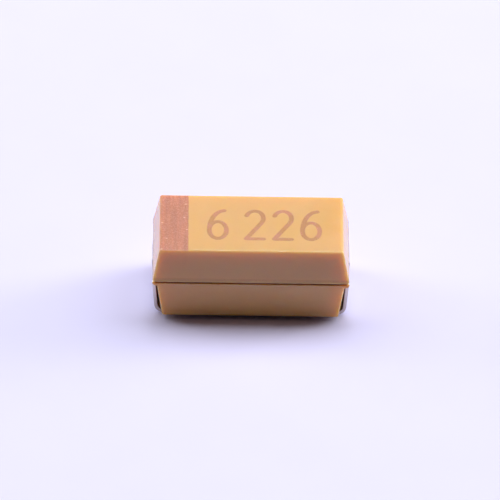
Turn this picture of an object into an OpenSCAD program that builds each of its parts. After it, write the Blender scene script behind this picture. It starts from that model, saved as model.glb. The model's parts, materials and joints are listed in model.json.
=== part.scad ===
// Moulded chip capacitor with a sintered niobium oxide element, standard chip size 6032-28, in millimetres.
// The origin is the middle of the footprint on the plane of the solder pads.
// +X runs from the anode end to the cathode end, and +Z is up.

/* [Case] */
// Length of the case at the parting line
case_l = 5.94; // [5.7:0.02:6.3]
// Width of the case at the parting line
case_w = 3.2; // [3:0.05:3.6]
// Height of the case top above the solder pads
case_top = 2.6; // [2.5:0.05:2.9]
// Height of the parting line above the solder pads
parting_z = 1.56; // [1.4:0.02:1.7]
// Draft of the upper half's walls in degrees
upper_draft = 10.8; // [5:0.2:12]
// Draft of the lower half's walls in degrees
lower_draft = 7.6; // [5:0.2:9]
// Setback of the lower half's sides from the upper half's
side_step = 0.03; // [0.01:0.01:0.06]
// Height of the groove along the parting line
groove_h = 0.1; // [0.04:0.01:0.14]
// Depth of the groove along the parting line
groove_d = 0.06; // [0.02:0.01:0.08]
// Rounding of the case's edges and corners
edge_r = 0.07; // [0.04:0.01:0.12]
// Width of the polarity band on the case top, at the anode end
band_l = 0.87; // [0.6:0.01:1.2]
// Depth of the laser cut polarity band
band_depth = 0.01; // [0.01:0.005:0.02]

/* [Terminals] */
// Thickness of the lead strip
lead_t = 0.1; // [0.08:0.01:0.13]
// How far each strip stands proud of the case end
lead_proud = 0.03; // [0.01:0.01:0.06]
// Width of each solder pad
pad_w = 2.2; // [1.8:0.05:2.6]
// Length of each solder pad, from the end of the part
pad_l = 1.3; // [1:0.05:1.6]
// Gap between each solder pad and the case above it
pad_gap = 0.02; // [0.01:0.01:0.1]
// Width of the neck where the strip leaves the case
neck_w = 0.8; // [0.6:0.05:1.2]
// Height of the shoulders where the neck widens to the pad's width
shoulder_z = 1.1; // [0.9:0.05:1.2]
// Inside radius of the bend at the case and of the bends inside it
bend_r = 0.05; // [0.04:0.01:0.1]
// Inside radius of the bend into the solder pad
heel_r = 0.22; // [0.15:0.01:0.3]
// Lean of the strip towards the case, in degrees from upright
lead_lean = 4.5; // [2:0.5:6]
// Length of strip held in the case wall before its first bend inside
hold_l = 0.2; // [0.15:0.01:0.3]

/* [Anode weld] */
// Steepest slope of the step down to the weld tongue, in degrees
tongue_slope = 60; // [45:5:75]
// Length of the weld tongue
tongue_l = 0.6; // [0.45:0.05:0.8]
// Depth of the wire's seat in the tongue
weld_sink = 0.03; // [0.01:0.01:0.05]
// Length of tongue left bare beyond the end of the wire
weld_margin = 0.05; // [0.02:0.01:0.1]
// Gap between the tongue and the washer
weld_gap = 0.15; // [0.1:0.01:0.25]

/* [Cathode paddle] */
// Steepest slope of the step down to the paddle, in degrees
paddle_slope = 80; // [65:5:85]
// Length of the paddle under the element
paddle_l = 2; // [1.5:0.1:2.5]
// Width of the paddle and of the step above it
paddle_w = 1.6; // [1.2:0.05:1.8]
// Gap between the foot of the step and the element
paddle_gap = 0.1; // [0.06:0.01:0.2]

/* [Element] */
// Cover of epoxy over the element
top_wall = 0.4; // [0.3:0.02:0.5]
// Cover of epoxy beside the element at the parting line
side_wall = 0.45; // [0.4:0.02:0.6]
// Cover of epoxy under the paddle
bottom_wall = 0.25; // [0.2:0.01:0.35]
// Rounding of the pellet's long edges
pellet_r = 0.15; // [0.1:0.01:0.25]
// Thickness of the manganese dioxide layer
oxide_t = 0.05; // [0.03:0.01:0.08]
// Thickness of the carbon layer
carbon_t = 0.02; // [0.02:0.01:0.04]
// Thickness of the silver layer
silver_t = 0.04; // [0.02:0.01:0.06]
// Distance from the pellet's wire end to the edge of the carbon layer
carbon_back = 0.2; // [0.1:0.02:0.3]
// Distance from the edge of the carbon layer to the edge of the silver layer
silver_back = 0.12; // [0.06:0.02:0.2]
// Thickness of the silver adhesive
glue_t = 0.04; // [0.02:0.01:0.06]
// Bare border of the paddle round the silver adhesive
glue_margin = 0.1; // [0.06:0.01:0.2]
// Diameter of the anode wire
wire_d = 0.3; // [0.24:0.02:0.4]
// Length of the anode wire inside the pellet
wire_embed = 2; // [1.5:0.1:2.4]
// Outer diameter of the wire's washer
washer_d = 0.9; // [0.7:0.05:1.1]
// Thickness of the wire's washer
washer_t = 0.15; // [0.1:0.01:0.2]

/* [Hidden] */
$fn = 48;
// Facets round each rounded corner of the case
corner_fn = 24;
// Upright land that each half of the case has at the parting line
land = 0.02;
// Extra reach of a cutting shape past the face that it opens
cut = 0.05;

// Radii of a step's two bends together, on one face of the strip
bend_pair = 2 * bend_r + lead_t;

// Outer radii of the strip's bends, and where the strip starts to bend outside the case
bend_out = bend_r + lead_t;
heel_out = heel_r + lead_t;
half_l = case_l / 2 + lead_proud;
exit_x = half_l - bend_out;

// The lower half ends where the strips start to bend
lower_l = 2 * exit_x;
lower_w = case_w - 2 * side_step;
lower_top = parting_z - groove_h;
case_bottom = lead_t + pad_gap;

// The polarity band runs in from the anode end of the case top
top_half_l = case_l / 2 - (case_top - parting_z) * tan(upper_draft);

// The leaning run of each strip, along its outer face, and the flat run of its solder pad
lean_top = parting_z - bend_out * (1 + sin(lead_lean));
lean_foot = heel_out * (1 - sin(lead_lean));
lean_l = (lean_top - lean_foot) / cos(lead_lean);
neck_l = (lean_top - shoulder_z) / cos(lead_lean);
heel_x = exit_x + (bend_out - heel_out) * cos(lead_lean) - lean_l * sin(lead_lean);
pad_run = heel_x - (half_l - pad_l);

// Heights of the coated element and of the wire through its middle
coat_t = oxide_t + carbon_t + silver_t;
paddle_top = case_bottom + bottom_wall + lead_t;
element_bottom = paddle_top + glue_t;
element_top = case_top - top_wall;
wire_z = (element_bottom + element_top) / 2;
tongue_top = wire_z - wire_d / 2 + weld_sink;

// Steps in the strips inside the case, with the shortest straight slope between a step's two bends
least_slope = lead_t / 2;
tongue_drop = parting_z - tongue_top;
tongue_turn = step_turn(tongue_drop, tongue_slope);
paddle_drop = parting_z - paddle_top;
paddle_turn = step_turn(paddle_drop, paddle_slope);

// Places along the part
tongue_x = -(exit_x - hold_l - step_run(tongue_drop, tongue_turn));
paddle_x = exit_x - hold_l - step_run(paddle_drop, paddle_turn);
pellet_front = tongue_x + tongue_l + weld_gap + washer_t;
element_back = paddle_x - paddle_gap;
pellet_back = element_back - coat_t;
carbon_front = pellet_front + carbon_back;
silver_front = carbon_front + silver_back;

// Size of the bare pellet
pellet_w = case_w - 2 * (side_wall + coat_t);
pellet_h = element_top - element_bottom - 2 * coat_t;

// Turn of each bend of a step that is too low for its steepest slope
function low_turn(height) =
  acos((bend_pair - height) / norm([bend_pair, least_slope])) - atan2(least_slope, bend_pair);

// Turn of each of a step's two bends: the steepest allowed, or less where the step is low
function step_turn(drop, steepest) =
  abs(drop) < bend_pair * (1 - cos(steepest)) + least_slope * sin(steepest)
    ? sign(drop) * low_turn(abs(drop))
    : sign(drop) * steepest;

// Length of the straight slope between a step's two bends
function step_slope(drop, turn) =
  turn == 0 ? 0 : (abs(drop) - bend_pair * (1 - cos(turn))) / sin(abs(turn));

// Length that a step takes up along the part
function step_run(drop, turn) =
  bend_pair * sin(abs(turn)) + step_slope(drop, turn) * cos(turn);

// A bend in the strip, from the end of a run along +X; a positive turn goes down
module bend(turn, radius, width) {
  translate([0, 0, turn > 0 ? -(lead_t + radius) : radius])
    rotate([90, 0, 0])
      rotate(turn > 0 ? 90 - turn : -90)
        rotate_extrude(angle = abs(turn))
          translate([radius, -width / 2])
            square([lead_t, width]);
}

// Moves its children from the start of a bend to the end of it
module past_bend(turn, radius) {
  arm = turn > 0 ? lead_t + radius : -radius;
  translate([0, 0, -arm])
    rotate([0, turn, 0])
      translate([0, 0, arm])
        children();
}

// A bent strip along +X with its upper face at z = 0, from runs of [length, width, turn, radius]
module strip(runs, i = 0) {
  if (i < len(runs)) {
    length = runs[i][0];
    width = runs[i][1];
    turn = runs[i][2];
    radius = runs[i][3];
    if (length > 0)
      translate([0, -width / 2, -lead_t])
        cube([length, width, lead_t]);
    translate([length, 0, 0]) {
      if (turn != 0)
        bend(turn, radius, width);
      past_bend(turn, radius)
        strip(runs, i + 1);
    }
  }
}

// The strip outside the case at the +X end: neck, shoulders and solder pad
module strip_outside() {
  translate([exit_x, 0, parting_z])
    strip([
      [0, neck_w, 90 + lead_lean, bend_r],
      [neck_l, neck_w, 0, 0],
      [lean_l - neck_l, pad_w, 90 - lead_lean, heel_r],
      [pad_run, pad_w, 0, 0]
    ]);
}

// The strip inside the case at the +X end: a held run, a step, and a flat end
module strip_inside(drop, turn, step_w, flat_l) {
  translate([exit_x, 0, parting_z])
    mirror([1, 0, 0])
      strip([
        [hold_l, neck_w, turn, bend_r],
        [step_slope(drop, turn), step_w, -turn, bend_r],
        [flat_l, step_w, 0, 0]
      ]);
}

// The anode strip inside the case
module tongue() {
  mirror([1, 0, 0])
    strip_inside(tongue_drop, tongue_turn, neck_w, tongue_l);
}

// The cathode strip inside the case
module paddle() {
  strip_inside(paddle_drop, paddle_turn, paddle_w, paddle_l);
}

// A rounded corner of the case
module corner_ball() {
  rotate_extrude($fn = corner_fn)
    intersection() {
      circle(edge_r, $fn = corner_fn);
      translate([0, -edge_r])
        square([edge_r, 2 * edge_r]);
    }
}

// One drafted half of the case, from its wide face at the parting line to its rounded narrow face
module drafted_half(length, width, wide_z, narrow_z, draft) {
  way = sign(narrow_z - wide_z);
  ball_z = narrow_z - way * edge_r;
  inset = abs(ball_z - wide_z) * tan(draft) + edge_r / cos(draft);
  hull()
    for (x = [-1, 1], y = [-1, 1]) {
      translate([x * (length / 2 - edge_r), y * (width / 2 - edge_r), wide_z + way * land / 2])
        cylinder(r = edge_r, h = land, center = true, $fn = corner_fn);
      translate([x * (length / 2 - inset), y * (width / 2 - inset), ball_z])
        corner_ball();
    }
}

// The coated element's outline out to a given skin over the pellet, from a given place to its back
module element_bar(skin, from_x) {
  width = pellet_w + 2 * skin;
  height = pellet_h + 2 * skin;
  radius = pellet_r + skin;
  translate([from_x, 0, wire_z])
    rotate([90, 0, 90])
      linear_extrude(pellet_back + skin - from_x) {
        square([width - 2 * radius, height], center = true);
        square([width, height - 2 * radius], center = true);
        for (y = [-1, 1], z = [-1, 1])
          translate([y * (width / 2 - radius), z * (height / 2 - radius)])
            circle(radius);
      }
}

// A round bar along +X on the wire's axis
module wire_bar(diameter, from_x, length) {
  translate([from_x, 0, wire_z])
    rotate([0, 90, 0])
      cylinder(d = diameter, h = length);
}

// What the laser takes off the case top to mark the anode end
module polarity_band() {
  translate([-top_half_l - cut, -case_w / 2, case_top - band_depth])
    cube([band_l + cut, case_w, band_depth + cut]);
}

module epoxy_case() {
  color([0.93, 0.74, 0.51])
    difference() {
      union() {
        drafted_half(case_l, case_w, parting_z, case_top, upper_draft);
        drafted_half(lower_l, lower_w, lower_top, case_bottom, lower_draft);
        translate([0, 0, parting_z - groove_h / 2])
          cube([lower_l - 2 * groove_d, lower_w - 2 * groove_d, groove_h + 2 * cut], center = true);
      }
      element_bar(oxide_t, pellet_front - oxide_t);
      element_bar(oxide_t + carbon_t, carbon_front);
      element_bar(coat_t, silver_front);
      wire_bar(washer_d, pellet_front - washer_t, washer_t);
      wire_bar(wire_d, tongue_x + weld_margin, pellet_front - tongue_x);
      glue_pad();
      tongue();
      paddle();
      polarity_band();
    }
}

module anode_terminal() {
  color([0.78, 0.78, 0.77])
    difference() {
      union() {
        mirror([1, 0, 0])
          strip_outside();
        tongue();
      }
      anode_wire();
    }
}

module cathode_terminal() {
  color([0.78, 0.78, 0.77]) {
    strip_outside();
    paddle();
  }
}

module anode_pellet() {
  color([0.25, 0.25, 0.28])
    difference() {
      element_bar(0, pellet_front);
      wire_bar(wire_d, pellet_front - cut, wire_embed + cut);
    }
}

module anode_wire() {
  color([0.6, 0.61, 0.63])
    wire_bar(wire_d, tongue_x + weld_margin, pellet_front + wire_embed - tongue_x - weld_margin);
}

module wire_washer() {
  color([0.95, 0.95, 0.93])
    difference() {
      wire_bar(washer_d, pellet_front - washer_t, washer_t);
      wire_bar(wire_d, pellet_front - washer_t - cut, washer_t + 2 * cut);
    }
}

module manganese_dioxide_layer() {
  color([0.16, 0.13, 0.12])
    difference() {
      element_bar(oxide_t, pellet_front - oxide_t);
      element_bar(0, pellet_front);
      wire_bar(washer_d, pellet_front - washer_t, washer_t + cut);
    }
}

module carbon_layer() {
  color([0.08, 0.08, 0.08])
    difference() {
      element_bar(oxide_t + carbon_t, carbon_front);
      element_bar(oxide_t, pellet_front);
    }
}

module silver_layer() {
  color([0.75, 0.75, 0.74])
    difference() {
      element_bar(coat_t, silver_front);
      element_bar(oxide_t + carbon_t, pellet_front);
    }
}

// The silver adhesive's pad, between the paddle and the element
module glue_pad() {
  from_x = paddle_x - paddle_l + glue_margin;
  to_x = element_back - glue_margin;
  translate([from_x, glue_margin - paddle_w / 2, paddle_top])
    cube([to_x - from_x, paddle_w - 2 * glue_margin, glue_t]);
}

module silver_adhesive() {
  color([0.62, 0.61, 0.6])
    glue_pad();
}

epoxy_case();
anode_terminal();
cathode_terminal();
anode_pellet();
anode_wire();
wire_washer();
manganese_dioxide_layer();
carbon_layer();
silver_layer();
silver_adhesive();
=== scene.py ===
import json
from math import copysign, cos, hypot, pi, radians, sin, tan, tau
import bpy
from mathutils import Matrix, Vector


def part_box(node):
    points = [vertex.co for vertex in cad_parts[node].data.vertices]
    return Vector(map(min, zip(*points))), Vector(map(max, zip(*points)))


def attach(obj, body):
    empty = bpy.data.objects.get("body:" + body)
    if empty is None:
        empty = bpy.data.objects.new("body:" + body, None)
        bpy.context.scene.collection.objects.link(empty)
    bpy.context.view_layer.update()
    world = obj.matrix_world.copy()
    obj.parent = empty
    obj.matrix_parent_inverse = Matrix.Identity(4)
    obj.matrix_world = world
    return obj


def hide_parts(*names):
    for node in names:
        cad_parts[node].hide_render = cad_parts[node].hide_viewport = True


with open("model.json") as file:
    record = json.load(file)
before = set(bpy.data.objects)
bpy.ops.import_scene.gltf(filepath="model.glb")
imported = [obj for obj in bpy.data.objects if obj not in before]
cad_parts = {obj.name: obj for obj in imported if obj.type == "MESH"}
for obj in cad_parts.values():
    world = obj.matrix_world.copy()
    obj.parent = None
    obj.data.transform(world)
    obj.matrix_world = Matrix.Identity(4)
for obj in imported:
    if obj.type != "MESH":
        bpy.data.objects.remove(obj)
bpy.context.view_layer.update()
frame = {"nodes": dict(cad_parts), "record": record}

from types import SimpleNamespace

import bmesh
import bpy
from mathutils import Matrix, Vector

bl_info = {
    "name": "Moulded chip capacitor",
    "version": (1, 0, 0),
    "blender": (4, 5, 0),
    "location": "View3D > Sidebar > Capacitor",
    "description": "Case, lead strips, inner finishes and stage for a moulded chip capacitor",
    "category": "Object",
}

# The part's meshes are made in millimetres and scaled to metres when they are finished
MM = 0.001

# Points that are nearer to each other than this are one point
MERGE = 1e-4

# How far the glue's room laps into what it touches
GLUE_LAP = 0.01

# Facets in the round stretches
CORNER_STEPS = 6
FILLET_STEPS = 7
BORE_STEPS = 8
EDGE_STEPS = 2
BEND_STEP = radians(4)
STROKE_STEP = radians(9)

# Turns above which a strip's edge is eased, and above which edges are shaded as sharp
EASED_TURN = radians(50)
CASE_SHARP = radians(40)
STRIP_SHARP = radians(30)

# Distance from node to node in the node editor
NODE_SPACING = 220

# Sockets of a colour mix: its factor, its two colours and its result
MIX_INPUTS = (0, 6, 7)
MIX_OUTPUT = 2

# The camera sees from its distance divided by this to the floor's reach times this
CLIP_RANGE = 10

# Middle of a range from 0 to 1
MIDDLE = 0.5

# Layers of finer and finer bumps in a noise
COARSE = 1.0
MEDIUM = 2.0
FINE = 3.0
FINEST = 4.0

# Stretches of a noise's values that a finish changes over
FIRM = (0.3, 0.7)
SOFT = (0.2, 0.8)

# The resin: scales in bumps per millimetre, warm reach and depth and bump in millimetres, others as shares
RESIN = SimpleNamespace(
    refraction=1.55, light_spread=(1.0, 0.65, 0.2),
    cloud=0.9, warm_reach=(0.2, 2.7), warm_share=(0.25, 0.9), warm_depth=0.3,
    grain=26.0, grain_stretch=(0.3, 0.75), grain_share=0.1, grain_tone=0.72,
    streak=(11, 0.8, 1), streak_tones=(0.91, 1.09),
    speck=1.7, speck_rim=0.075, speck_core=0.03, speck_share=0.8, patch=2.3, patch_stretch=(0.42, 0.62),
    # painted_shade_rough is roughness added where the parting line's painted shade lies, which dulls glints
    # there
    rough_spread=0.04, laser_rough=0.15, painted_shade_rough=0.5, bump=0.002, bump_strength=0.12)

# Tin plate: scales in bumps per millimetre, bump in millimetres, others as shares
TIN = SimpleNamespace(
    rolled=(0.6, 30, 0.6), cloud=3.0, tones=(0.85, 1.1), cut_facing=(0.8, 0.98),
    rough=(0.3, 0.46), bump=0.002, bump_strength=0.5)

# The pieces inside the case: shares of their colour and of their roughness
INNER = SimpleNamespace(tones=(0.7, 1.25), rough_spread=0.1)

# Each inner solid's slot, grain in bumps per millimetre, its depth in millimetres, roughness, metal share
INNER_FINISHES = {
    "anode_pellet": ("niobium_oxide", 30.0, 0.01, 0.8, 0.0),
    "anode_wire": ("niobium_wire", 12.0, 0.002, 0.4, 1.0),
    "wire_washer": ("washer_plastic", 8.0, 0.002, 0.5, 0.0),
    "manganese_dioxide_layer": ("manganese_dioxide", 20.0, 0.006, 0.75, 0.0),
    "carbon_layer": ("carbon", 25.0, 0.004, 0.7, 0.0),
    "silver_layer": ("silver_coat", 25.0, 0.003, 0.5, 0.7),
    "silver_adhesive": ("silver_glue", 18.0, 0.004, 0.55, 0.6),
}

# The floor: grain in bumps per millimetre, others as shares
PAPER = SimpleNamespace(roughness=0.9, gloss=0.1, grain=0.4, tones=(0.995, 1.005))

# The case's skin: scales in bumps per millimetre, fin_end in millimetres, fin_feet in heights of a fin,
# groove_fill in reaches of a fin, wander_turn in radians, others as shares
SKIN = SimpleNamespace(
    flash=5.0, flash_stretch=(0.5, 0.72),
    fin=8.0, fin_stretch=(0.25, 0.6), fin_share=(0.5, 1.0), fin_end=(0.1, 0.03), fin_feet=(1.0, 1.4),
    # Shares of the painted shade on the corner fins, on the lip and on the wall above the groove
    groove_fill=2.0, fin_painted_shade=0.9, lip_painted_shade=0.85, wall_painted_shade=0.62,
    ragged=14.0, core_share=(0.75, 1.0), wander=1.5, wander_turn=5.0)

# The strips, and the solids that they stand for
STRIPS = {"anode_strip": "anode_terminal", "cathode_strip": "cathode_terminal"}


def node_box(node):
    """Lowest and highest corner of one of the frame's solids, in millimetres."""
    low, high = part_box(node)
    return low / MM, high / MM


CASE_LOW, CASE_HIGH = node_box("epoxy_case")
CATHODE_LOW, CATHODE_HIGH = node_box("cathode_terminal")
ANODE_HIGH = node_box("anode_terminal")[1]
PARTING_Z = ANODE_HIGH.z


def number(name, description, default, **kind):
    """A number setting."""
    return bpy.props.FloatProperty(name=name, description=description, default=default, **kind)


def length(name, description, millimetres):
    """A length setting, with its default in millimetres."""
    return number(name, description, millimetres * MM, unit="LENGTH", precision=6)


def angle(name, description, degrees):
    """An angle setting, with its default in degrees."""
    return number(name, description, radians(degrees), subtype="ANGLE")


def colour(name, description, linear):
    """A colour setting, in linear light."""
    return bpy.props.FloatVectorProperty(
        name=name, description=description, default=linear, size=3, min=0, max=1, subtype="COLOR")


class CaseSettings(bpy.types.PropertyGroup):
    """Sizes and finish of the moulded case."""

    upper_draft: angle("Upper draft", "Draft of the upper half's walls", 10.8)
    lower_draft: angle("Lower draft", "Draft of the lower half's walls", 7.6)
    side_step: length("Side step", "Setback of the lower half's sides", 0.03)
    groove_height: length("Groove height", "Height of the parting line's groove", 0.1)
    groove_depth: length("Groove depth", "Depth of the parting line's groove", 0.06)
    edge_radius: length("Edge radius", "Rounding of the case's edges and corners", 0.07)
    land: length("Land", "Upright land of each half at the parting line", 0.02)
    cell: length("Cell", "Spacing of the mesh on the case top", 0.02)
    flash_reach: length("Flash reach", "Reach of the mould flash along the parting line", 0.01)
    fin_reach: length("Fin reach", "Reach of the fins of flash at the corners", 0.145)
    fin_height: length("Fin height", "Height of the fins of flash at the corners", 0.08)
    fin_length: length("Fin length", "Length of the fins of flash along the ends", 0.3)
    resin: colour("Resin", "Colour of the moulded resin", (0.722, 0.424, 0.165))
    resin_warm: colour("Warm resin", "Colour of the resin's yellower patches", (0.69, 0.4, 0.117))
    roughness: number("Roughness", "Roughness of the moulded skin", 0.12, min=0, max=1, subtype="FACTOR")
    # Painted shade: a dark colour put in the parting line's groove, on its lip and on the corner fins where
    # shade falls, fading up the wall over the next setting's height
    painted_shade: colour("Grime", "Colour of the grime in the parting line's groove", (0.28, 0.1, 0.04))
    painted_shade_height: length("Grime height", "How far the groove's grime fades up the wall", 0.14)
    depth: length("Light depth", "How far light spreads under the resin's skin", 0.7)


class MarkSettings(bpy.types.PropertyGroup):
    """Sizes and finish of what the laser marks on the case top."""

    digits: bpy.props.StringProperty(
        name="Digits", description="Digits from left to right", default="6 226")
    first_x: length("First digit", "Middle of the first digit along the part", -1.02)
    pitch: length("Pitch", "Distance from digit to digit", 0.85)
    gap: length("Gap", "Extra distance for each space", 0.27)
    row_y: length("Row", "Middle of the row of digits across the part", -0.07)
    digit_w: length("Digit width", "Width of a digit between the middles of its strokes", 0.52)
    digit_h: length("Digit height", "Height of a digit between the middles of its strokes", 1.4)
    stroke: length("Stroke", "Width of a digit's stroke", 0.14)
    stroke_depth: length("Stroke depth", "Depth of a digit's stroke", 0.008)
    band_l: length("Band width", "Width of the polarity band", 0.85)
    band_depth: length("Band depth", "Depth of the polarity band", 0.01)
    hatch_pitch: length("Hatch pitch", "Spacing of the laser's passes in the band", 0.08)
    hatch_depth: length("Hatch depth", "Depth of the furrow of each pass", 0.0015)
    burnt: colour("Burnt resin", "Colour of the burnt resin in the band", (0.53, 0.22, 0.135))
    flake: colour("Flake", "Colour of the pale flakes in the band", (0.8, 0.5, 0.36))
    scorched: colour("Scorched resin", "Colour of the resin in the digits' strokes", (0.47, 0.215, 0.085))


class StripSettings(bpy.types.PropertyGroup):
    """Sizes and finish of the lead strips."""

    thickness: length("Thickness", "Thickness of the strip", 0.1)
    neck_w: length("Neck width", "Width of the neck at the case", 0.8)
    paddle_w: length("Paddle width", "Width of the cathode strip's paddle", 1.6)
    shoulder_z: length("Shoulder height", "Height where the neck widens", 1.1)
    bend_r: length("Bend radius", "Inside radius of the bends at the case and inside it", 0.05)
    heel_r: length("Heel radius", "Inside radius of the bend into the solder pad", 0.22)
    lean: angle("Lean", "Lean of the strip towards the case", 4.5)
    hold_l: length("Held length", "Length held in the case wall", 0.2)
    tongue_slope: angle("Tongue slope", "Slope of the step down to the weld tongue", 60)
    paddle_slope: angle("Paddle slope", "Slope of the step down to the paddle", 80)
    tongue_l: length("Tongue length", "Length of the weld tongue", 0.6)
    weld_sink: length("Weld seat", "Depth of the wire's seat in the tongue", 0.03)
    edge: length("Edge", "Rounding of the strip's edges", 0.012)
    tin: colour("Tin", "Colour of the tin plate", (0.68, 0.64, 0.63))
    bare_edge: colour("Cut edge", "Colour of the strip's cut edges", (0.58, 0.51, 0.49))


class ElementSettings(bpy.types.PropertyGroup):
    """Sizes of the element that the case holds."""

    pellet_r: length("Pellet rounding", "Rounding of the pellet's long edges", 0.15)


class StageSettings(bpy.types.PropertyGroup):
    """The floor, the light and the camera."""

    floor: colour("Floor", "Colour of the floor to the eye and in reflections", (0.71, 0.695, 0.965))
    bounce: colour("Bounce", "Colour of the light that the floor throws back", (0.61, 0.53, 0.68))
    backdrop: colour("Backdrop", "Colour behind the floor", (0.92, 0.887, 1.0))
    floor_half: length("Floor reach", "Distance from the part to the floor's edges", 500)
    ambient: number("Ambient", "Strength of the light from all round", 0.01, min=0, max=1, subtype="FACTOR")
    lamp_width: length("Lamp width", "Width of each soft lamp from left to right", 480)
    lamp_depth: length("Lamp depth", "Width of each soft lamp from front to back", 250)
    lamp_distance: length("Lamp distance", "Distance of each soft lamp from the part", 350)
    lamp_back: angle("Lamp lean back", "Lean of the lamps from overhead to the back", 20)
    right_lean: angle("Right lamp lean", "Lean of the right lamp from overhead to its side", 28)
    left_lean: angle("Left lamp lean", "Lean of the left lamp from overhead to its side", 22)
    right_power: number("Right lamp", "Power of the soft lamp on the right", 1.08, unit="POWER")
    left_power: number("Left lamp", "Power of the soft lamp on the left", 0.84, unit="POWER")
    rim_size: length("Rim lamp size", "Width of the low lamp beside each end", 150)
    rim_height: angle("Rim lamp height", "Height of the low lamps above the horizon", 16)
    rim_turn: angle("Rim lamp turn", "Turn of the low lamps from the part's ends to its back", 20)
    right_rim: number("Right rim lamp", "Power of the low lamp on the right", 0.59, unit="POWER")
    left_rim: number("Left rim lamp", "Power of the low lamp on the left", 0.32, unit="POWER")
    lens: number("Lens", "Focal length of the camera", 712.5, unit="CAMERA")
    distance: length("Distance", "Distance of the camera from its target", 300)
    elevation: angle("Elevation", "Height of the camera above the horizon", 37.06)
    azimuth: angle("Azimuth", "Turn of the camera round the part, from its front", -0.81)
    roll: angle("Roll", "Turn of the camera about its own line of sight", 1.29)
    target_x: length("Target along", "Place along the part that the camera looks at", -0.0285)
    target_z: length("Target height", "Height that the camera looks at", 1.591)


def setting_names(settings):
    """The names of a group's own settings."""
    return [key for key in settings.bl_rna.properties.keys() if key not in ("rna_type", "name")]


def in_millimetres(settings):
    """A group's settings as plain values, with its lengths in millimetres."""
    values = SimpleNamespace()
    for key in setting_names(settings):
        value = getattr(settings, key)
        is_length = settings.bl_rna.properties[key].unit == "LENGTH"
        setattr(values, key, value / MM if is_length else value)
    return values


def put(tree, kind, wires=(), **settings):
    """Adds a node with its settings, and links or sets each input that is named in wires."""
    node = tree.nodes.new(kind)
    node.location = (NODE_SPACING * len(tree.nodes), 0)
    for key, value in settings.items():
        setattr(node, key, value)
    for key, value in dict(wires).items():
        if isinstance(value, bpy.types.NodeSocket):
            tree.links.new(value, node.inputs[key])
        else:
            node.inputs[key].default_value = value
    return node


def calc(tree, operation, first, second=0.0, kind="ShaderNodeMath"):
    """The result of an operation on one or two values, or on two vectors."""
    return put(tree, kind, {0: first, 1: second}, operation=operation).outputs[0]


def product(tree, first, *others):
    """The product of two or more values."""
    for other in others:
        first = calc(tree, "MULTIPLY", first, other)
    return first


def vector_sum(tree, first, *others):
    """The sum of two or more vectors."""
    for other in others:
        first = calc(tree, "ADD", first, other, "ShaderNodeVectorMath")
    return first


def axes_of(tree, vector):
    """A vector's three values."""
    return put(tree, "ShaderNodeSeparateXYZ", {"Vector": vector}).outputs


def ramp(tree, value, low, high, to_low=0.0, to_high=1.0):
    """A smooth change from to_low to to_high as a value goes from low to high."""
    wires = {"Value": value, "From Min": low, "From Max": high, "To Min": to_low, "To Max": to_high}
    return put(tree, "ShaderNodeMapRange", wires, interpolation_type="SMOOTHSTEP").outputs["Result"]


def noise(tree, vector, scale, detail=MEDIUM):
    """A noise value from about 0 to 1, with its scale in bumps for each unit of the vector."""
    wires = {"Vector": vector, "Scale": scale, "Detail": detail}
    return put(tree, "ShaderNodeTexNoise", wires).outputs[0]


def blend(tree, factor, first, second):
    """A mix of two colours."""
    wires = dict(zip(MIX_INPUTS, (factor, first, second)))
    return put(tree, "ShaderNodeMix", wires, data_type="RGBA").outputs[MIX_OUTPUT]


def rgba(linear):
    """A colour with its alpha."""
    return (*linear, 1.0)


def scaled(linear, factor):
    """A colour made lighter or darker."""
    return rgba([min(1.0, channel * factor) for channel in linear])


def toned(tree, value, linear, tones):
    """A colour that goes from a darker tone of itself to a lighter one with a noise."""
    dark, light = tones
    return blend(tree, ramp(tree, value, *FIRM), scaled(linear, dark), scaled(linear, light))


def new_material(name, **constants):
    """A material with its tree and its shader, and with constants set on the shader's inputs."""
    material = bpy.data.materials.new(name)
    material.use_nodes = True
    tree = material.node_tree
    shader = next(node for node in tree.nodes if node.type == "BSDF_PRINCIPLED")
    for key, value in constants.items():
        shader.inputs[key.replace("_", " ")].default_value = value
    return material, tree, shader


def coordinates(tree, stretch=(1, 1, 1)):
    """The part's own coordinates in millimetres, stretched along each axis."""
    place = put(tree, "ShaderNodeTexCoord").outputs["Object"]
    scale = [factor / MM for factor in stretch]
    return put(tree, "ShaderNodeMapping", {"Vector": place, "Scale": scale}).outputs["Vector"]


def dress(tree, shader, tone, rough, height, depth, strength=1.0):
    """Gives a shader its colour, its roughness and bump, with the bump's depth in millimetres."""
    wires = {"Height": height, "Distance": depth * MM, "Strength": strength}
    normal = put(tree, "ShaderNodeBump", wires).outputs["Normal"]
    for key, value in (("Base Color", tone), ("Roughness", rough), ("Normal", normal)):
        tree.links.new(value, shader.inputs[key])


def moulded_colour(tree, place, grain, case):
    """The resin's colour: yellower in patches at the right of the top, and darker in its grain."""
    axes = axes_of(tree, place)
    along = ramp(tree, axes["X"], *RESIN.warm_reach, *RESIN.warm_share)
    cloud = ramp(tree, noise(tree, place, RESIN.cloud, FINE), *FIRM)
    near_top = ramp(tree, axes["Z"], CASE_HIGH.z - RESIN.warm_depth, CASE_HIGH.z)
    resin = blend(tree, product(tree, along, cloud, near_top), rgba(case.resin), rgba(case.resin_warm))
    dark = ramp(tree, grain, *RESIN.grain_stretch, 0.0, RESIN.grain_share)
    return blend(tree, dark, resin, scaled(case.resin, RESIN.grain_tone))


def band_colour(tree, place, streak, mark):
    """The band's colour: streaks along the laser's passes, and pale flakes."""
    burnt = toned(tree, streak, mark.burnt, RESIN.streak_tones)
    wires = {"Vector": place, "Scale": RESIN.speck}
    speck = put(tree, "ShaderNodeTexVoronoi", wires, voronoi_dimensions="2D").outputs["Distance"]
    speck = ramp(tree, speck, RESIN.speck_rim, RESIN.speck_core, 0.0, RESIN.speck_share)
    return blend(tree, speck, burnt, rgba(mark.flake))


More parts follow.
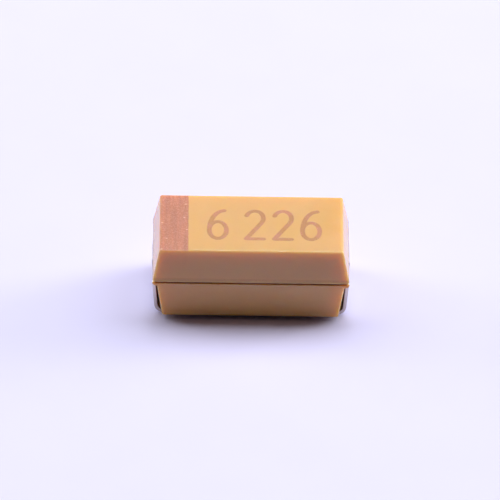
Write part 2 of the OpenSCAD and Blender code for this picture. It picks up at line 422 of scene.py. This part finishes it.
def resin_material(case, mark):
    """Satin moulded resin, with the band, the digits and a painted shade in the groove where the mesh says
    so.
    """
    material, tree, shader = new_material(
        "moulded_resin", IOR=RESIN.refraction, Subsurface_Weight=1.0, Subsurface_Scale=case.depth * MM,
        Subsurface_Radius=RESIN.light_spread)
    place = coordinates(tree)
    grain = noise(tree, place, RESIN.grain)
    streak = noise(tree, coordinates(tree, RESIN.streak), 1.0, COARSE)
    band, stroke, seam = (
        put(tree, "ShaderNodeAttribute", attribute_name=label).outputs["Fac"]
        for label in ("band", "stroke", "seam"))
    patch = ramp(tree, noise(tree, place, RESIN.patch, COARSE), *RESIN.patch_stretch)
    scorched = blend(tree, patch, rgba(mark.scorched), rgba(mark.burnt))
    skin = moulded_colour(tree, place, grain, case)
    skin = blend(tree, band, skin, band_colour(tree, place, streak, mark))
    skin = blend(tree, stroke, skin, scorched)
    # A painted shade darkens the parting line's groove, its lip, the wall above it and the corner fins
    skin = blend(tree, seam, skin, rgba(case.painted_shade))

    laser = calc(tree, "MAXIMUM", band, stroke)
    spread = RESIN.rough_spread
    rough = ramp(tree, grain, *SOFT, case.roughness - spread, case.roughness + spread)
    rough = calc(tree, "ADD", rough, product(tree, laser, RESIN.laser_rough))
    # More roughness where the painted shade lies, to dull glints there
    rough = calc(tree, "ADD", rough, product(tree, seam, RESIN.painted_shade_rough))
    height = calc(tree, "ADD", grain, product(tree, streak, laser))
    dress(tree, shader, skin, rough, height, RESIN.bump, RESIN.bump_strength)
    return material


def strip_material(strip):
    """Satin tin plate with a rolled grain along the strip, and darker cut edges."""
    material, tree, shader = new_material("tinned_strip", Metallic=1.0)
    grain = noise(tree, coordinates(tree, TIN.rolled), 1.0, FINE)
    cloud = noise(tree, coordinates(tree), TIN.cloud, FINE)
    facing = axes_of(tree, put(tree, "ShaderNodeTexCoord").outputs["Normal"])["Y"]
    cut_edge = ramp(tree, calc(tree, "ABSOLUTE", facing), *TIN.cut_facing)
    tin = blend(tree, cut_edge, toned(tree, cloud, strip.tin, TIN.tones), rgba(strip.bare_edge))
    rough = ramp(tree, grain, *SOFT, *TIN.rough)
    dress(tree, shader, tin, rough, grain, TIN.bump, TIN.bump_strength)
    return material


def grained_material(name, linear, scale, depth, rough, metal):
    """A finish of one colour that varies with a grain, for the pieces inside the case."""
    material, tree, shader = new_material(name, Metallic=metal)
    grain = noise(tree, coordinates(tree), scale, FINEST)
    tone = toned(tree, grain, linear, INNER.tones)
    rough = ramp(tree, grain, *SOFT, rough - INNER.rough_spread, rough + INNER.rough_spread)
    dress(tree, shader, tone, rough, grain, depth)
    return material


def new_object(name, data):
    """An object in the scene for a mesh, a curve, a lamp or a camera, at the origin."""
    piece = bpy.data.objects.new(name, data)
    bpy.context.scene.collection.objects.link(piece)
    return piece


def new_tree(name, inputs):
    """A Geometry Nodes tree with named inputs, and the sockets that give their values."""
    tree = bpy.data.node_groups.new(name, "GeometryNodeTree")
    tree.interface.new_socket("Geometry", in_out="OUTPUT", socket_type="NodeSocketGeometry")
    for label, kind in inputs.items():
        tree.interface.new_socket(label, in_out="INPUT", socket_type="NodeSocket" + kind)
    return tree, put(tree, "NodeGroupInput").outputs


def end_tree(tree, geometry, material):
    """Ends a tree with its material, as plain geometry."""
    real = put(tree, "GeometryNodeRealizeInstances", {"Geometry": geometry}).outputs[0]
    dressed = put(tree, "GeometryNodeSetMaterial", {"Geometry": real, "Material": material}).outputs[0]
    put(tree, "NodeGroupOutput", {"Geometry": dressed})


def grow(piece, tree, values):
    """Puts a tree on a piece and sets the tree's inputs by name."""
    modifier = piece.modifiers.new(tree.name, "NODES")
    modifier.node_group = tree
    for socket in tree.interface.items_tree:
        if socket.in_out == "INPUT" and socket.name in values:
            modifier[socket.identifier] = values[socket.name]


def cut_away(piece, cutters):
    """Takes other pieces' forms out of a piece."""
    for cutter in cutters:
        modifier = piece.modifiers.new("cut", "BOOLEAN")
        modifier.solver = "MANIFOLD"
        modifier.object = cutter


def merge_doubles(mesh):
    """Merges a mesh's doubled points, and drops the faces that have no area."""
    form = bmesh.new()
    form.from_mesh(mesh)
    bmesh.ops.remove_doubles(form, verts=form.verts, dist=MERGE)
    bmesh.ops.dissolve_degenerate(form, edges=form.edges, dist=MERGE)
    form.to_mesh(mesh)
    form.free()


def settle(piece):
    """Turns a piece and its modifiers into a plain mesh."""
    depsgraph = bpy.context.evaluated_depsgraph_get()
    mesh = bpy.data.meshes.new_from_object(piece.evaluated_get(depsgraph), depsgraph=depsgraph)
    merge_doubles(mesh)
    piece.modifiers.clear()
    piece.data = mesh


def discard(*helpers):
    """Removes objects that only helped to make a piece."""
    for helper in helpers:
        bpy.data.objects.remove(helper)


def finish_piece(piece, node, sharp):
    """Brings a piece to metres, sets its shading, and lets it stand for its solid."""
    piece.data.transform(Matrix.Scale(MM, 4))
    piece.data.shade_smooth()
    piece.data.set_sharp_from_angle(angle=sharp)
    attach(piece, "root")
    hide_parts(node)


def ring(half_x, half_y, radius, cells, steps):
    """Points round a rounded rectangle: four arcs, with the sides between them cut into cells."""
    arcs = []
    for quarter, (side_x, side_y) in enumerate(((1, 1), (-1, 1), (-1, -1), (1, -1))):
        middle = Vector((side_x * (half_x - radius), side_y * (half_y - radius)))
        turns = [(quarter + step / steps) * pi / 2 for step in range(steps + 1)]
        arcs.append([middle + radius * Vector((cos(turn), sin(turn))) for turn in turns])
    points = []
    for quarter, arc_points in enumerate(arcs):
        count = cells[quarter % 2]
        far = arcs[(quarter + 1) % 4][0]
        points += arc_points
        points += [arc_points[-1].lerp(far, cell / count) for cell in range(1, count)]
    return points


def loft(levels, cells, steps):
    """Points and faces of rings from levels of (half_x, half_y, radius, z), with the lowest one closed."""
    points = []
    for half_x, half_y, radius, z in levels:
        points += [(x, y, z) for x, y in ring(half_x, half_y, radius, cells, steps)]
    count = len(points) // len(levels)
    faces = [tuple(reversed(range(count)))]
    for start in range(0, len(points) - count, count):
        for i in range(count):
            j = (i + 1) % count
            faces.append((start + i, start + j, start + count + j, start + count + i))
    return points, faces


def closed_loft(levels, steps):
    """A loft with plain sides, and with its highest ring closed too."""
    points, faces = loft(levels, (1, 1), steps)
    count = len(points) // len(levels)
    faces.append(tuple(range(len(points) - count, len(points))))
    return points, faces


def joined_mesh(name, points, faces, marks=None):
    """A mesh with its doubled points merged, and with marks, which are values by point, as attributes."""
    mesh = bpy.data.meshes.new(name)
    mesh.from_pydata(points, [], faces)
    for label, values in (marks or {}).items():
        mesh.attributes.new(label, "FLOAT", "POINT").data.foreach_set("value", values)
    merge_doubles(mesh)
    return mesh


def half_levels(half_x, half_y, wide_z, narrow_z, draft, case):
    """Levels of one drafted half of the case, from its wide face to its flat narrow face."""
    edge = case.edge_radius
    way = copysign(1, narrow_z - wide_z)
    ball_z = narrow_z - way * edge
    inset = abs(ball_z - wide_z) * tan(draft) + edge / cos(draft)
    levels = [(half_x, half_y, edge, wide_z), (half_x, half_y, edge, wide_z + way * case.land)]
    for step in range(FILLET_STEPS + 1):
        turn = draft + step / FILLET_STEPS * (pi / 2 - draft)
        reach = edge * cos(turn)
        z = ball_z + way * edge * sin(turn)
        levels.append((half_x - inset + reach, half_y - inset + reach, reach, z))
    return levels


def between(first, second, z):
    """A level at a given height on the straight wall between two levels."""
    part = (z - first[3]) / (second[3] - first[3])
    return tuple(a + (b - a) * part for a, b in zip(first, second))


def exit_x(strip):
    """Where the strips' bends outside the case start, from the part's middle; the lower half ends there."""
    return CATHODE_HIGH.x - strip.bend_r - strip.thickness


def lower_half(case, strip):
    """Half the length and half the width of the lower half where it is widest."""
    return exit_x(strip), CASE_HIGH.y - case.side_step


def case_levels(case, strip):
    """Levels of the case from its underside to its top, and its mesh's marks as values by level."""
    lower_x, lower_y = lower_half(case, strip)
    lower_top = PARTING_Z - case.groove_height
    lower = half_levels(lower_x, lower_y, lower_top, CASE_LOW.z, case.lower_draft, case)
    feet = [between(lower[1], lower[2], lower_top - case.fin_height * part) for part in SKIN.fin_feet]
    lower[2:2] = feet
    upper = half_levels(CASE_HIGH.x, CASE_HIGH.y, PARTING_Z, CASE_HIGH.z, case.upper_draft, case)
    # The level where the painted shade above the groove has faded out
    upper.insert(2, between(upper[1], upper[2], PARTING_Z + case.painted_shade_height))
    depth = case.groove_depth
    core = (lower_x - depth, lower_y - depth, case.edge_radius - depth)
    under_lip = (CASE_HIGH.x - case.land, CASE_HIGH.y - case.land, case.edge_radius - case.land, PARTING_Z)
    groove = [(*core, lower_top), (*core, PARTING_Z)]
    levels = [*reversed(lower), *groove, under_lip, *upper]

    lip = levels.index(under_lip) + 1
    fins = range(levels.index(feet[0]), len(lower))
    fill = range(len(lower), len(lower) + len(groove))
    painted_shade_levels = range(len(lower), lip)
    marks = {
        "lip": {lip: 1.0},
        "fin": {**dict.fromkeys(fins, 1.0), **dict.fromkeys(fill, SKIN.groove_fill)},
        # The seam mark is a painted shade: full in the groove, less on the lip and on the wall above it
        "seam": {**dict.fromkeys(painted_shade_levels, 1.0), lip: SKIN.lip_painted_shade, lip + 1: SKIN.wall_painted_shade},
    }
    return levels, marks


def case_mesh(case, strip):
    """The case's outer form, with a fine mesh on its top, and with marks for its flash and its painted
    shade.
    """
    levels, marks = case_levels(case, strip)
    top_x, top_y = levels[-1][:2]
    cells = [round(2 * half / case.cell) for half in (top_x, top_y)]
    points, faces = loft(levels, cells, CORNER_STEPS)
    first = len(points)
    count = first // len(levels)
    columns = cells[0] + 1
    for row in range(cells[1] + 1):
        y = top_y * (2 * row / cells[1] - 1)
        points += [(top_x * (2 * column / cells[0] - 1), y, CASE_HIGH.z) for column in range(columns)]
    for row in range(cells[1]):
        for column in range(cells[0]):
            corner = first + row * columns + column
            faces.append((corner, corner + 1, corner + columns + 1, corner + columns))
    values = {}
    for label, by_level in marks.items():
        values[label] = [by_level.get(i // count, 0.0) for i in range(len(points))]
    return joined_mesh("epoxy_case", points, faces, values)


def element_mesh(pellet_r):
    """The room of the wire, its washer and the coated element, as one stepped bar along the part."""
    pellet_y = node_box("anode_pellet")[1].y
    sections = []
    for node in ("anode_wire", "wire_washer", "manganese_dioxide_layer", "carbon_layer", "silver_layer"):
        low, high = node_box(node)
        half_z = (high.z - low.z) / 2
        radius = high.y if node in ("anode_wire", "wire_washer") else pellet_r + high.y - pellet_y
        sections.append((low.x, high.y, half_z, radius))
    low, high = node_box("silver_layer")
    ends = [section[0] for section in sections[1:]] + [high.x]
    levels = []
    for (start, *outline), end in zip(sections, ends):
        levels += [(*outline, start), (*outline, end)]
    points, faces = closed_loft(levels, BORE_STEPS)
    middle_z = (low.z + high.z) / 2
    points = [(z, x, y + middle_z) for x, y, z in points]
    return joined_mesh("element_room", points, faces)


def glue_mesh():
    """The room that the glue takes up, which laps into the paddle under it and the element over it."""
    low, high = node_box("silver_adhesive")
    middle = (low + high) / 2
    half = (high - low) / 2
    levels = [(half.x, half.y, 0, z) for z in (low.z - GLUE_LAP, high.z + GLUE_LAP)]
    points, faces = closed_loft(levels, 1)
    points = [(x + middle.x, y + middle.y, z) for x, y, z in points]
    return joined_mesh("glue_room", points, faces)


def poly_curve(name, lines):
    """A curve object of straight stretches, from lists of points."""
    curve = bpy.data.curves.new(name, "CURVE")
    curve.dimensions = "3D"
    for line in lines:
        spline = curve.splines.new("POLY")
        spline.points.add(len(line) - 1)
        for point, place in zip(spline.points, line):
            point.co = (*place, 1.0)
    return new_object(name, curve)


def arc(middle, radii, start, end):
    """Points along part of an ellipse, between two angles in degrees."""
    start, end = radians(start), radians(end)
    count = max(2, round(abs(end - start) / STROKE_STEP))
    turns = [start + (end - start) * i / count for i in range(count + 1)]
    return [(middle[0] + radii[0] * cos(t), middle[1] + radii[1] * sin(t)) for t in turns]


def digit_strokes(digit):
    """A digit's strokes as points in a box that is one wide and one high."""
    if digit == "2":
        return [[*arc((0.5, 0.74), (0.5, 0.26), 160, -38), (0.0, 0.0), (1.0, 0.0)]]
    if digit == "6":
        return [[*arc((0.9, 0.3), (0.9, 0.7), 92, 180), *arc((0.5, 0.3), (0.5, 0.3), 180, -180)]]
    raise ValueError(f"no strokes are drawn for {digit!r}")


def stroke_curves(mark):
    """The lines that the laser follows for the digits on the case top."""
    lines = []
    digit_x = mark.first_x
    for digit in mark.digits:
        if digit == " ":
            digit_x += mark.gap
            continue
        for stroke in digit_strokes(digit):
            xs = [digit_x + (x - MIDDLE) * mark.digit_w for x, _ in stroke]
            ys = [mark.row_y + (y - MIDDLE) * mark.digit_h for _, y in stroke]
            lines.append([(x, y, CASE_HIGH.z) for x, y in zip(xs, ys)])
        digit_x += mark.pitch
    return poly_curve("digit_strokes", lines)


def stored(tree, label):
    """A value that the mesh holds by point."""
    return put(tree, "GeometryNodeInputNamedAttribute", {"Name": label}, data_type="FLOAT").outputs[0]


def seam_flash(tree, given, place):
    """How flash stands out along the parting line."""
    rough = ramp(tree, noise(tree, place, SKIN.flash, FINE), *SKIN.flash_stretch)
    reach = product(tree, rough, given["Flash reach"], stored(tree, "lip"))
    normal = put(tree, "GeometryNodeInputNormal").outputs[0]
    return calc(tree, "MULTIPLY", normal, reach, "ShaderNodeVectorMath")


def corner_fins(tree, given, place):
    """The share of a fin of flash at each point, and how the fins stand out from the ends' corners."""
    axes = axes_of(tree, place)
    from_end = calc(tree, "SUBTRACT", given["Lower half length"], calc(tree, "ABSOLUTE", axes["X"]))
    from_side = calc(tree, "SUBTRACT", given["Lower half width"], calc(tree, "ABSOLUTE", axes["Y"]))
    at_end = ramp(tree, from_end, *SKIN.fin_end)
    at_side = ramp(tree, from_side, given["Fin length"], 0.0)
    ragged = ramp(tree, noise(tree, place, SKIN.fin, COARSE), *SKIN.fin_stretch, *SKIN.fin_share)
    fin = product(tree, stored(tree, "fin"), at_end, at_side, ragged)
    reach = product(tree, fin, given["Fin reach"], calc(tree, "SIGN", axes["X"]))
    return fin, put(tree, "ShaderNodeCombineXYZ", {"X": reach}).outputs[0]


def laser_marks(tree, given, place):
    """The shares of the band and of a stroke at each point, and how far the laser takes the skin down."""
    axes = axes_of(tree, place)
    x, z = axes["X"], axes["Z"]
    top, soft = given["Top"], given["Softness"]
    half, band_edge = given["Half stroke"], given["Band edge"]
    ragged = product(tree, calc(tree, "SUBTRACT", noise(tree, place, SKIN.ragged), MIDDLE), soft)

    strokes = put(tree, "GeometryNodeObjectInfo", {"Object": given["Strokes"]}).outputs["Geometry"]
    strokes = put(tree, "GeometryNodeCurveToMesh", {"Curve": strokes}).outputs[0]
    near = put(tree, "GeometryNodeProximity", {"Geometry": strokes}, target_element="EDGES")
    near = calc(tree, "ADD", near.outputs["Distance"], ragged)
    stroke = ramp(tree, near, calc(tree, "ADD", half, soft), calc(tree, "SUBTRACT", half, soft))
    on_top = calc(tree, "GREATER_THAN", z, calc(tree, "SUBTRACT", top, MERGE))
    stroke = product(tree, stroke, on_top)
    core = ramp(tree, near, 0.0, half, *SKIN.core_share)

    band = ramp(tree, calc(tree, "ADD", x, ragged), calc(tree, "ADD", band_edge, soft), band_edge)
    band_z = calc(tree, "SUBTRACT", top, product(tree, band, given["Band depth"]))
    on_band = calc(tree, "GREATER_THAN", z, calc(tree, "SUBTRACT", band_z, MERGE))
    near_rim = ramp(tree, z, calc(tree, "SUBTRACT", top, given["Band rim"]), top)
    phase = calc(tree, "DIVIDE", product(tree, x, tau), given["Hatch pitch"])
    wander = product(tree, noise(tree, place, SKIN.wander), SKIN.wander_turn)
    wave = calc(tree, "ADD", calc(tree, "COSINE", calc(tree, "ADD", phase, wander)), 1.0)
    furrow = product(tree, wave, given["Half hatch depth"], band, on_band)

    deep = calc(tree, "SUBTRACT", calc(tree, "MINIMUM", z, band_z), furrow)
    deep = calc(tree, "SUBTRACT", deep, product(tree, stroke, given["Stroke depth"]))
    down = put(tree, "ShaderNodeCombineXYZ", {"Z": calc(tree, "SUBTRACT", deep, z)}).outputs[0]
    return {"band": product(tree, band, near_rim), "stroke": product(tree, stroke, core)}, down


def skin_tree(sizes):
    """Geometry Nodes for the case's skin: flash at the parting line, and what the laser takes off."""
    numbers = dict.fromkeys(sizes, "Float")
    tree, given = new_tree(
        "Case skin", {"Geometry": "Geometry", "Strokes": "Object", **numbers, "Material": "Material"})
    place = put(tree, "GeometryNodeInputPosition").outputs[0]
    flash = seam_flash(tree, given, place)
    fin, fin_offset = corner_fins(tree, given, place)
    marks, down = laser_marks(tree, given, place)
    # The corner fins get a painted shade as well, joined to the seam's
    fin_painted_shade = calc(tree, "MINIMUM", fin, SKIN.fin_painted_shade)
    marks["seam"] = calc(tree, "MAXIMUM", stored(tree, "seam"), fin_painted_shade)
    skin = given["Geometry"]
    for label, value in marks.items():
        wires = {"Geometry": skin, "Name": label, "Value": value}
        store = put(tree, "GeometryNodeStoreNamedAttribute", wires, data_type="FLOAT", domain="POINT")
        skin = store.outputs[0]
    offset = vector_sum(tree, flash, fin_offset, down)
    skin = put(tree, "GeometryNodeSetPosition", {"Geometry": skin, "Offset": offset}).outputs[0]
    for label in ("lip", "fin"):
        skin = put(tree, "GeometryNodeRemoveAttribute", {"Geometry": skin, "Name": label}).outputs[0]
    end_tree(tree, skin, given["Material"])
    return tree


def inner_step(strip, drop, slope):
    """Where a strip's step inside the case ends, from the part's middle, and the length of its slope."""
    bend = strip.bend_r + strip.thickness / 2
    slope_l = (drop - 2 * bend * (1 - cos(slope))) / sin(slope)
    step_x = exit_x(strip) - strip.hold_l - 2 * bend * sin(slope) - slope_l * cos(slope)
    return step_x, slope_l


def strip_path(strip, side, drop, slope, flat_end):
    """The bent line through a strip's middle, from its pad's end to its end in the case.

    Returns the line's points, and the distances along it to the shoulders, the inner step and the end."""
    half_t = strip.thickness / 2
    bend = strip.bend_r + half_t
    heel = strip.heel_r + half_t
    lean = strip.lean
    pad_end = -ANODE_HIGH.x
    lean_top = PARTING_Z - (bend + half_t) * (1 + sin(lean))
    lean_foot = (heel + half_t) * (1 - sin(lean))
    lean_l = (lean_top - lean_foot) / cos(lean)
    neck_l = (lean_top - strip.shoulder_z) / cos(lean)
    heel_x = exit_x(strip) + (bend - heel) * cos(lean) - lean_l * sin(lean)
    step_x, slope_l = inner_step(strip, drop, slope)
    quarter = pi / 2
    runs = (
        (heel_x - pad_end, quarter - lean, heel),
        (lean_l, quarter + lean, bend),
        (strip.hold_l, slope, bend),
        (slope_l, -slope, bend),
        (step_x - flat_end, 0, bend),
    )
    points = [Vector((pad_end, half_t))]
    ends = []
    heading = 0.0
    travelled = 0.0
    for run, turn, radius in runs:
        points.append(points[-1] + run * Vector((cos(heading), sin(heading))))
        count = round(abs(turn) / BEND_STEP)
        chord = 2 * radius * sin(abs(turn) / max(count, 1) / 2)
        for _ in range(count):
            middle = heading + turn / count / 2
            points.append(points[-1] + chord * Vector((cos(middle), sin(middle))))
            heading += turn / count
        travelled += run + chord * count
        ends.append(travelled)
    heel_end, _, step, _, end = ends
    return [(side * x, z) for x, z in points], (heel_end + lean_l - neck_l, step, end)


def blank_mesh(name, widths, stations):
    """A strip's flat blank: widths are (distance where a width ends, width), stations the mesh's lines."""
    across = sorted({side * width / 2 for _, width in widths for side in (-1, 1)})
    along = sorted({0.0, *stations, *(end for end, _ in widths)})
    along = [u for i, u in enumerate(along) if i == 0 or u - along[i - 1] > MERGE]
    faces = []
    for i in range(len(along) - 1):
        middle = (along[i] + along[i + 1]) / 2
        width = next(width for end, width in widths if middle < end)
        for j in range(len(across) - 1):
            if abs(across[j] + across[j + 1]) < width:
                faces.append(((i, j), (i + 1, j), (i + 1, j + 1), (i, j + 1)))
    used = sorted({corner for face in faces for corner in face})
    index = {corner: i for i, corner in enumerate(used)}
    points = [(along[i], across[j], 0.0) for i, j in used]
    return joined_mesh(name, points, [[index[corner] for corner in face] for face in faces])


def bend_tree():
    """Geometry Nodes that bend a flat blank along a path: X becomes the way along it, Z the thickness."""
    tree, given = new_tree("Bent strip", {"Geometry": "Geometry", "Path": "Object", "Material": "Material"})
    axes = axes_of(tree, put(tree, "GeometryNodeInputPosition").outputs[0])
    path = put(tree, "GeometryNodeObjectInfo", {"Object": given["Path"]}).outputs["Geometry"]
    wires = {"Curves": path, "Length": axes["X"]}
    sample = put(tree, "GeometryNodeSampleCurve", wires, mode="LENGTH", use_all_curves=True).outputs
    upright = calc(tree, "CROSS_PRODUCT", sample["Tangent"], (0.0, 1.0, 0.0), "ShaderNodeVectorMath")
    raised = calc(tree, "MULTIPLY", upright, axes["Z"], "ShaderNodeVectorMath")
    across = put(tree, "ShaderNodeCombineXYZ", {"Y": axes["Y"]}).outputs[0]
    place = vector_sum(tree, sample["Position"], raised, across)
    wires = {"Geometry": given["Geometry"], "Position": place}
    bent = put(tree, "GeometryNodeSetPosition", wires).outputs[0]
    end_tree(tree, bent, given["Material"])
    return tree


def bent_strip(name, strip, path, ends, inner_w, tree, material):
    """A lead strip: its blank, thickened, bent along its path and eased at its edges."""
    shoulder, step, end = ends
    pad_w = 2 * ANODE_HIGH.y
    widths = ((shoulder, pad_w), (step, strip.neck_w), (end, inner_w))
    stations = [0.0]
    for (x, z), (next_x, next_z) in zip(path, path[1:]):
        stations.append(stations[-1] + hypot(next_x - x, next_z - z))
    piece = new_object(name, blank_mesh(name, widths, stations))
    thick = piece.modifiers.new("thickness", "SOLIDIFY")
    thick.thickness = strip.thickness
    thick.offset = 0
    curve = poly_curve("strip_path", [[(x, 0.0, z) for x, z in path]])
    grow(piece, tree, {"Path": curve, "Material": material})
    eased = piece.modifiers.new("edges", "BEVEL")
    eased.width = strip.edge
    eased.segments = EDGE_STEPS
    eased.angle_limit = EASED_TURN
    settle(piece)
    discard(curve)


class CAPACITOR_OT_lead_strips(bpy.types.Operator):
    """Make the two bent lead strips"""

    bl_idname = "capacitor.lead_strips"
    bl_label = "Lead strips"

    def execute(self, context):
        strip = in_millimetres(context.scene.capacitor_strip)
        tree = bend_tree()
        material = strip_material(strip)

        drop = PARTING_Z - node_box("anode_wire")[0].z - strip.weld_sink
        tongue_end = inner_step(strip, drop, strip.tongue_slope)[0] - strip.tongue_l
        path, ends = strip_path(strip, -1, drop, strip.tongue_slope, tongue_end)
        bent_strip("anode_strip", strip, path, ends, strip.neck_w, tree, material)

        drop = PARTING_Z - node_box("silver_adhesive")[0].z
        path, ends = strip_path(strip, 1, drop, strip.paddle_slope, CATHODE_LOW.x)
        bent_strip("cathode_strip", strip, path, ends, strip.paddle_w, tree, material)
        return {"FINISHED"}


class CAPACITOR_OT_case(bpy.types.Operator):
    """Mould the case round the strips and the element, and mark its top"""

    bl_idname = "capacitor.case"
    bl_label = "Moulded case"

    def execute(self, context):
        case = in_millimetres(context.scene.capacitor_case)
        mark = in_millimetres(context.scene.capacitor_mark)
        strip = in_millimetres(context.scene.capacitor_strip)
        piece = new_object("moulded_case", case_mesh(case, strip))
        room = new_object("element_room", element_mesh(context.scene.capacitor_element.pellet_r / MM))
        glue = new_object("glue_room", glue_mesh())
        strips = [bpy.data.objects[name] for name in STRIPS]
        cut_away(piece, [room, glue, *strips])
        strokes = stroke_curves(mark)
        sharp_half = CASE_HIGH.x - (CASE_HIGH.z - PARTING_Z) * tan(case.upper_draft)
        lower_x, lower_y = lower_half(case, strip)
        sizes = {
            "Half stroke": mark.stroke / 2, "Stroke depth": mark.stroke_depth,
            "Band edge": mark.band_l - sharp_half, "Band depth": mark.band_depth,
            "Band rim": case.edge_radius, "Hatch pitch": mark.hatch_pitch,
            "Half hatch depth": mark.hatch_depth / 2, "Top": CASE_HIGH.z, "Flash reach": case.flash_reach,
            "Fin reach": case.fin_reach, "Fin length": case.fin_length, "Lower half length": lower_x,
            "Lower half width": lower_y, "Softness": case.cell}
        material = resin_material(case, mark)
        grow(piece, skin_tree(sizes), {"Strokes": strokes, "Material": material, **sizes})
        settle(piece)
        # The wire's seat comes last, so that the case is cut by the plain strip and gets no slivers there
        cut_away(strips[0], [room])
        settle(strips[0])
        discard(room, glue, strokes)
        finish_piece(piece, "epoxy_case", CASE_SHARP)
        for strip_piece, node in zip(strips, STRIPS.values()):
            finish_piece(strip_piece, node, STRIP_SHARP)
        return {"FINISHED"}


class CAPACITOR_OT_element(bpy.types.Operator):
    """Finish the pieces that the case holds"""

    bl_idname = "capacitor.element"
    bl_label = "Inner element"

    def execute(self, context):
        colours = {entry["slot"]: entry["base_color"] for entry in frame["record"]["materials"]}
        for node, (slot, *finish) in INNER_FINISHES.items():
            solid = frame["nodes"][node].data
            solid.materials.clear()
            solid.materials.append(grained_material(slot, colours[slot], *finish))
        return {"FINISHED"}


def seen_rays(tree):
    """A value of 1 for the rays that the eye, reflections and glass see by, and of 0 for the others."""
    rays = put(tree, "ShaderNodeLightPath").outputs
    seen = calc(tree, "MAXIMUM", rays["Is Camera Ray"], rays["Is Glossy Ray"])
    return calc(tree, "MAXIMUM", seen, rays["Is Transmission Ray"])


def floor_material(stage):
    """Plain pale paper with a faint grain, which throws its own colour of light back on the part."""
    material, tree, shader = new_material(
        "pale_floor", Roughness=PAPER.roughness, Specular_IOR_Level=PAPER.gloss)
    tone = toned(tree, noise(tree, coordinates(tree), PAPER.grain), stage.floor, PAPER.tones)
    tone = blend(tree, seen_rays(tree), rgba(stage.bounce), tone)
    tree.links.new(tone, shader.inputs["Base Color"])
    return material


def lit_world(stage):
    """A pale surround for the eye and for reflections, and a dim light from all round."""
    world = bpy.data.worlds.new("surround")
    world.use_nodes = True
    tree = world.node_tree
    tree.nodes.clear()
    dim = put(tree, "ShaderNodeBackground", {"Color": rgba(stage.backdrop), "Strength": stage.ambient})
    pale = put(tree, "ShaderNodeBackground", {"Color": rgba(stage.backdrop), "Strength": 1.0})
    wires = {0: seen_rays(tree), 1: dim.outputs[0], 2: pale.outputs[0]}
    mixed = put(tree, "ShaderNodeMixShader", wires)
    put(tree, "ShaderNodeOutputWorld", {"Surface": mixed.outputs[0]})
    return world


def soft_lamp(name, way, distance, width, depth, watts):
    """A soft lamp that stands some way off from the part, turned to it."""
    lamp = bpy.data.lights.new(name, "AREA")
    lamp.shape = "ELLIPSE"
    lamp.size = width
    lamp.size_y = depth
    lamp.energy = watts
    way = way.normalized()
    across = Vector((0.0, 1.0, 0.0)).cross(way).normalized()
    turn = Matrix((across, way.cross(across), way)).transposed().to_4x4()
    new_object(name, lamp).matrix_world = Matrix.Translation(way * distance) @ turn


def light_part(stage):
    """A large lamp above and behind the part and a low one beside its end, on each side."""
    level = cos(stage.rim_height)
    sides = (
        ("right", 1, stage.right_lean, stage.right_power, stage.right_rim),
        ("left", -1, stage.left_lean, stage.left_power, stage.left_rim))
    for name, side, lean, watts, rim_watts in sides:
        way = Vector((side * tan(lean), tan(stage.lamp_back), 1.0))
        soft_lamp(name + "_lamp", way, stage.lamp_distance, stage.lamp_width, stage.lamp_depth, watts)
        low_x = side * level * cos(stage.rim_turn)
        way = Vector((low_x, level * sin(stage.rim_turn), sin(stage.rim_height)))
        soft_lamp(name + "_rim_lamp", way, stage.lamp_distance, stage.rim_size, stage.rim_size, rim_watts)


def view_camera(stage):
    """A camera at the photograph's angle."""
    lens = bpy.data.cameras.new("camera")
    lens.lens = stage.lens
    lens.clip_start = stage.distance / CLIP_RANGE
    lens.clip_end = stage.floor_half * CLIP_RANGE
    camera = new_object("camera", lens)
    turn = Matrix.Rotation(stage.azimuth, 4, "Z") @ Matrix.Rotation(pi / 2 - stage.elevation, 4, "X")
    turn = turn @ Matrix.Rotation(stage.roll, 4, "Z")
    target = Matrix.Translation((stage.target_x, 0.0, stage.target_z))
    camera.matrix_world = target @ turn @ Matrix.Translation((0.0, 0.0, stage.distance))
    return camera


class CAPACITOR_OT_stage(bpy.types.Operator):
    """Set the floor, the light and the camera"""

    bl_idname = "capacitor.stage"
    bl_label = "Stage"

    def execute(self, context):
        scene = context.scene
        stage = scene.capacitor_stage
        reach = stage.floor_half
        corners = [(-reach, -reach, 0), (reach, -reach, 0), (reach, reach, 0), (-reach, reach, 0)]
        mesh = bpy.data.meshes.new("floor")
        mesh.from_pydata(corners, [], [(0, 1, 2, 3)])
        mesh.materials.append(floor_material(stage))
        floor = new_object("floor", mesh)
        scene.world = lit_world(stage)
        light_part(stage)
        scene.camera = view_camera(stage)
        scene.view_settings.view_transform = "Standard"
        return {"FINISHED"}


class CAPACITOR_PT_sidebar(bpy.types.Panel):
    """Settings and steps of the capacitor"""

    bl_idname = "CAPACITOR_PT_sidebar"
    bl_label = "Chip capacitor"
    bl_space_type = "VIEW_3D"
    bl_region_type = "UI"
    bl_category = "Capacitor"

    def draw(self, context):
        for step in STEPS:
            self.layout.operator(step.bl_idname)
        for label in SETTINGS:
            settings = getattr(context.scene, label)
            box = self.layout.box()
            for key in setting_names(settings):
                box.prop(settings, key)


SETTINGS = {
    "capacitor_case": CaseSettings,
    "capacitor_mark": MarkSettings,
    "capacitor_strip": StripSettings,
    "capacitor_element": ElementSettings,
    "capacitor_stage": StageSettings,
}
STEPS = (CAPACITOR_OT_lead_strips, CAPACITOR_OT_case, CAPACITOR_OT_element, CAPACITOR_OT_stage)
CLASSES = (*SETTINGS.values(), *STEPS, CAPACITOR_PT_sidebar)


def register():
    for kind in CLASSES:
        bpy.utils.register_class(kind)
    for label, kind in SETTINGS.items():
        setattr(bpy.types.Scene, label, bpy.props.PointerProperty(type=kind))


def unregister():
    for label in SETTINGS:
        delattr(bpy.types.Scene, label)
    for kind in reversed(CLASSES):
        bpy.utils.unregister_class(kind)


def main():
    register()
    bpy.ops.capacitor.lead_strips()
    bpy.ops.capacitor.case()
    bpy.ops.capacitor.element()
    bpy.ops.capacitor.stage()


if __name__ == "__main__":
    main()
